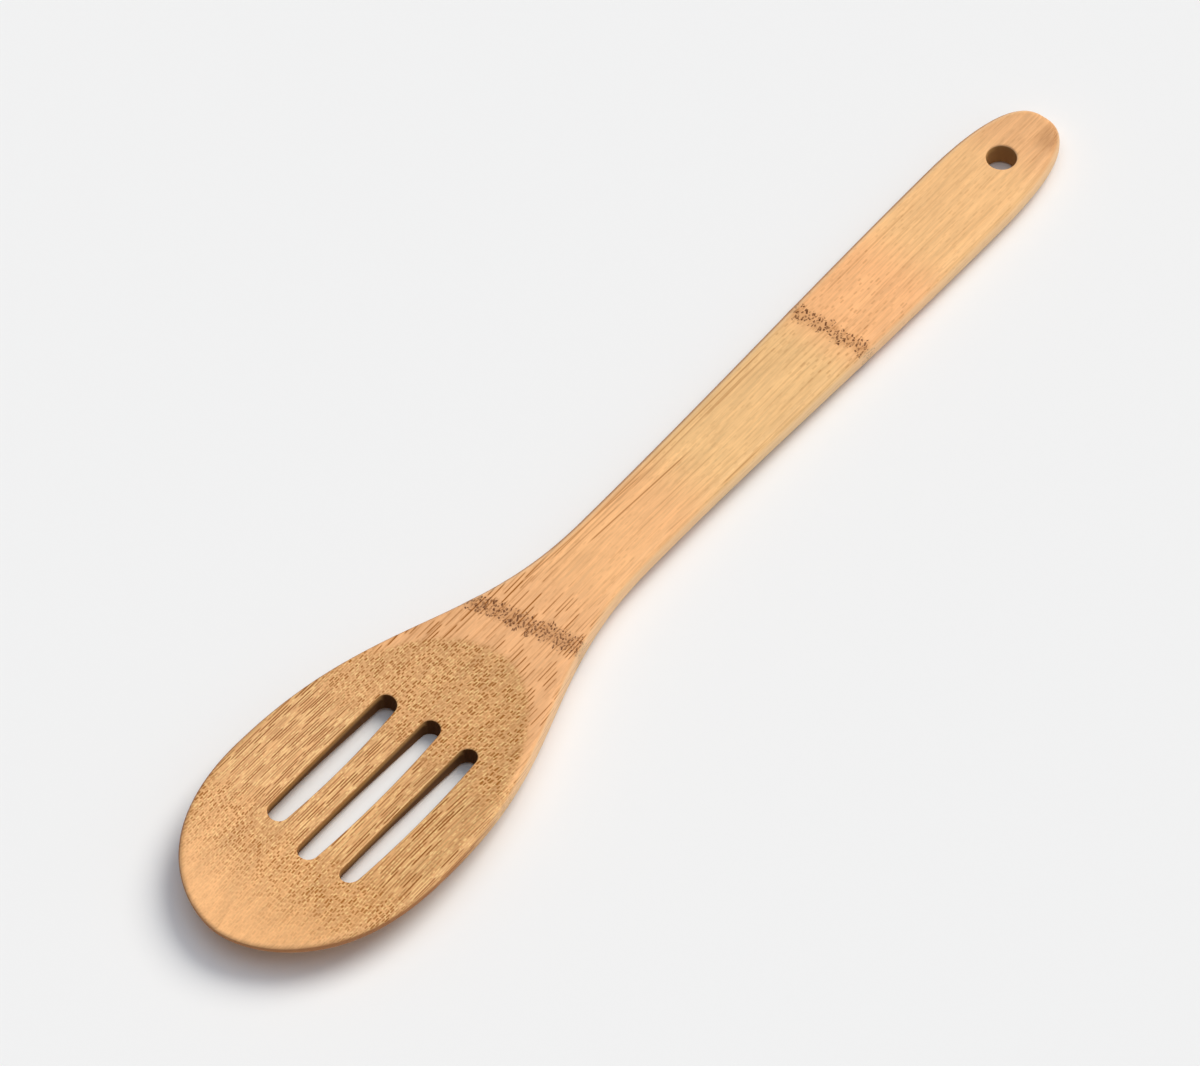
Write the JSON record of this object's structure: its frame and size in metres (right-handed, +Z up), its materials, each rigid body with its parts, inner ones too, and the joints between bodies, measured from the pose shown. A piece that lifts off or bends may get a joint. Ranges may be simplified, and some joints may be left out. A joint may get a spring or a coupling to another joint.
{
  "type": "slotted spoon",
  "caption": "Long-handled bamboo slotted spoon with a shallow oval bowl pierced by parallel slots and a hanging hole near the handle's end.",
  "frame": {"origin": "on the table under the middle of the spoon's box, with the spoon lying on its belly and the end of its handle", "axes": "+X along the spoon from the tip of the bowl to the handle's end, +Z up out of the hollow side, +Y to the left as seen from the handle's end"},
  "size_m": [0.3, 0.0592, 0.0104],
  "materials": {
    "sanded_bamboo": "bare sanded bamboo, matte to soft satin"
  },
  "bodies": {
    "root": {"spoon": "sanded_bamboo"}
  },
  "joints": []
}
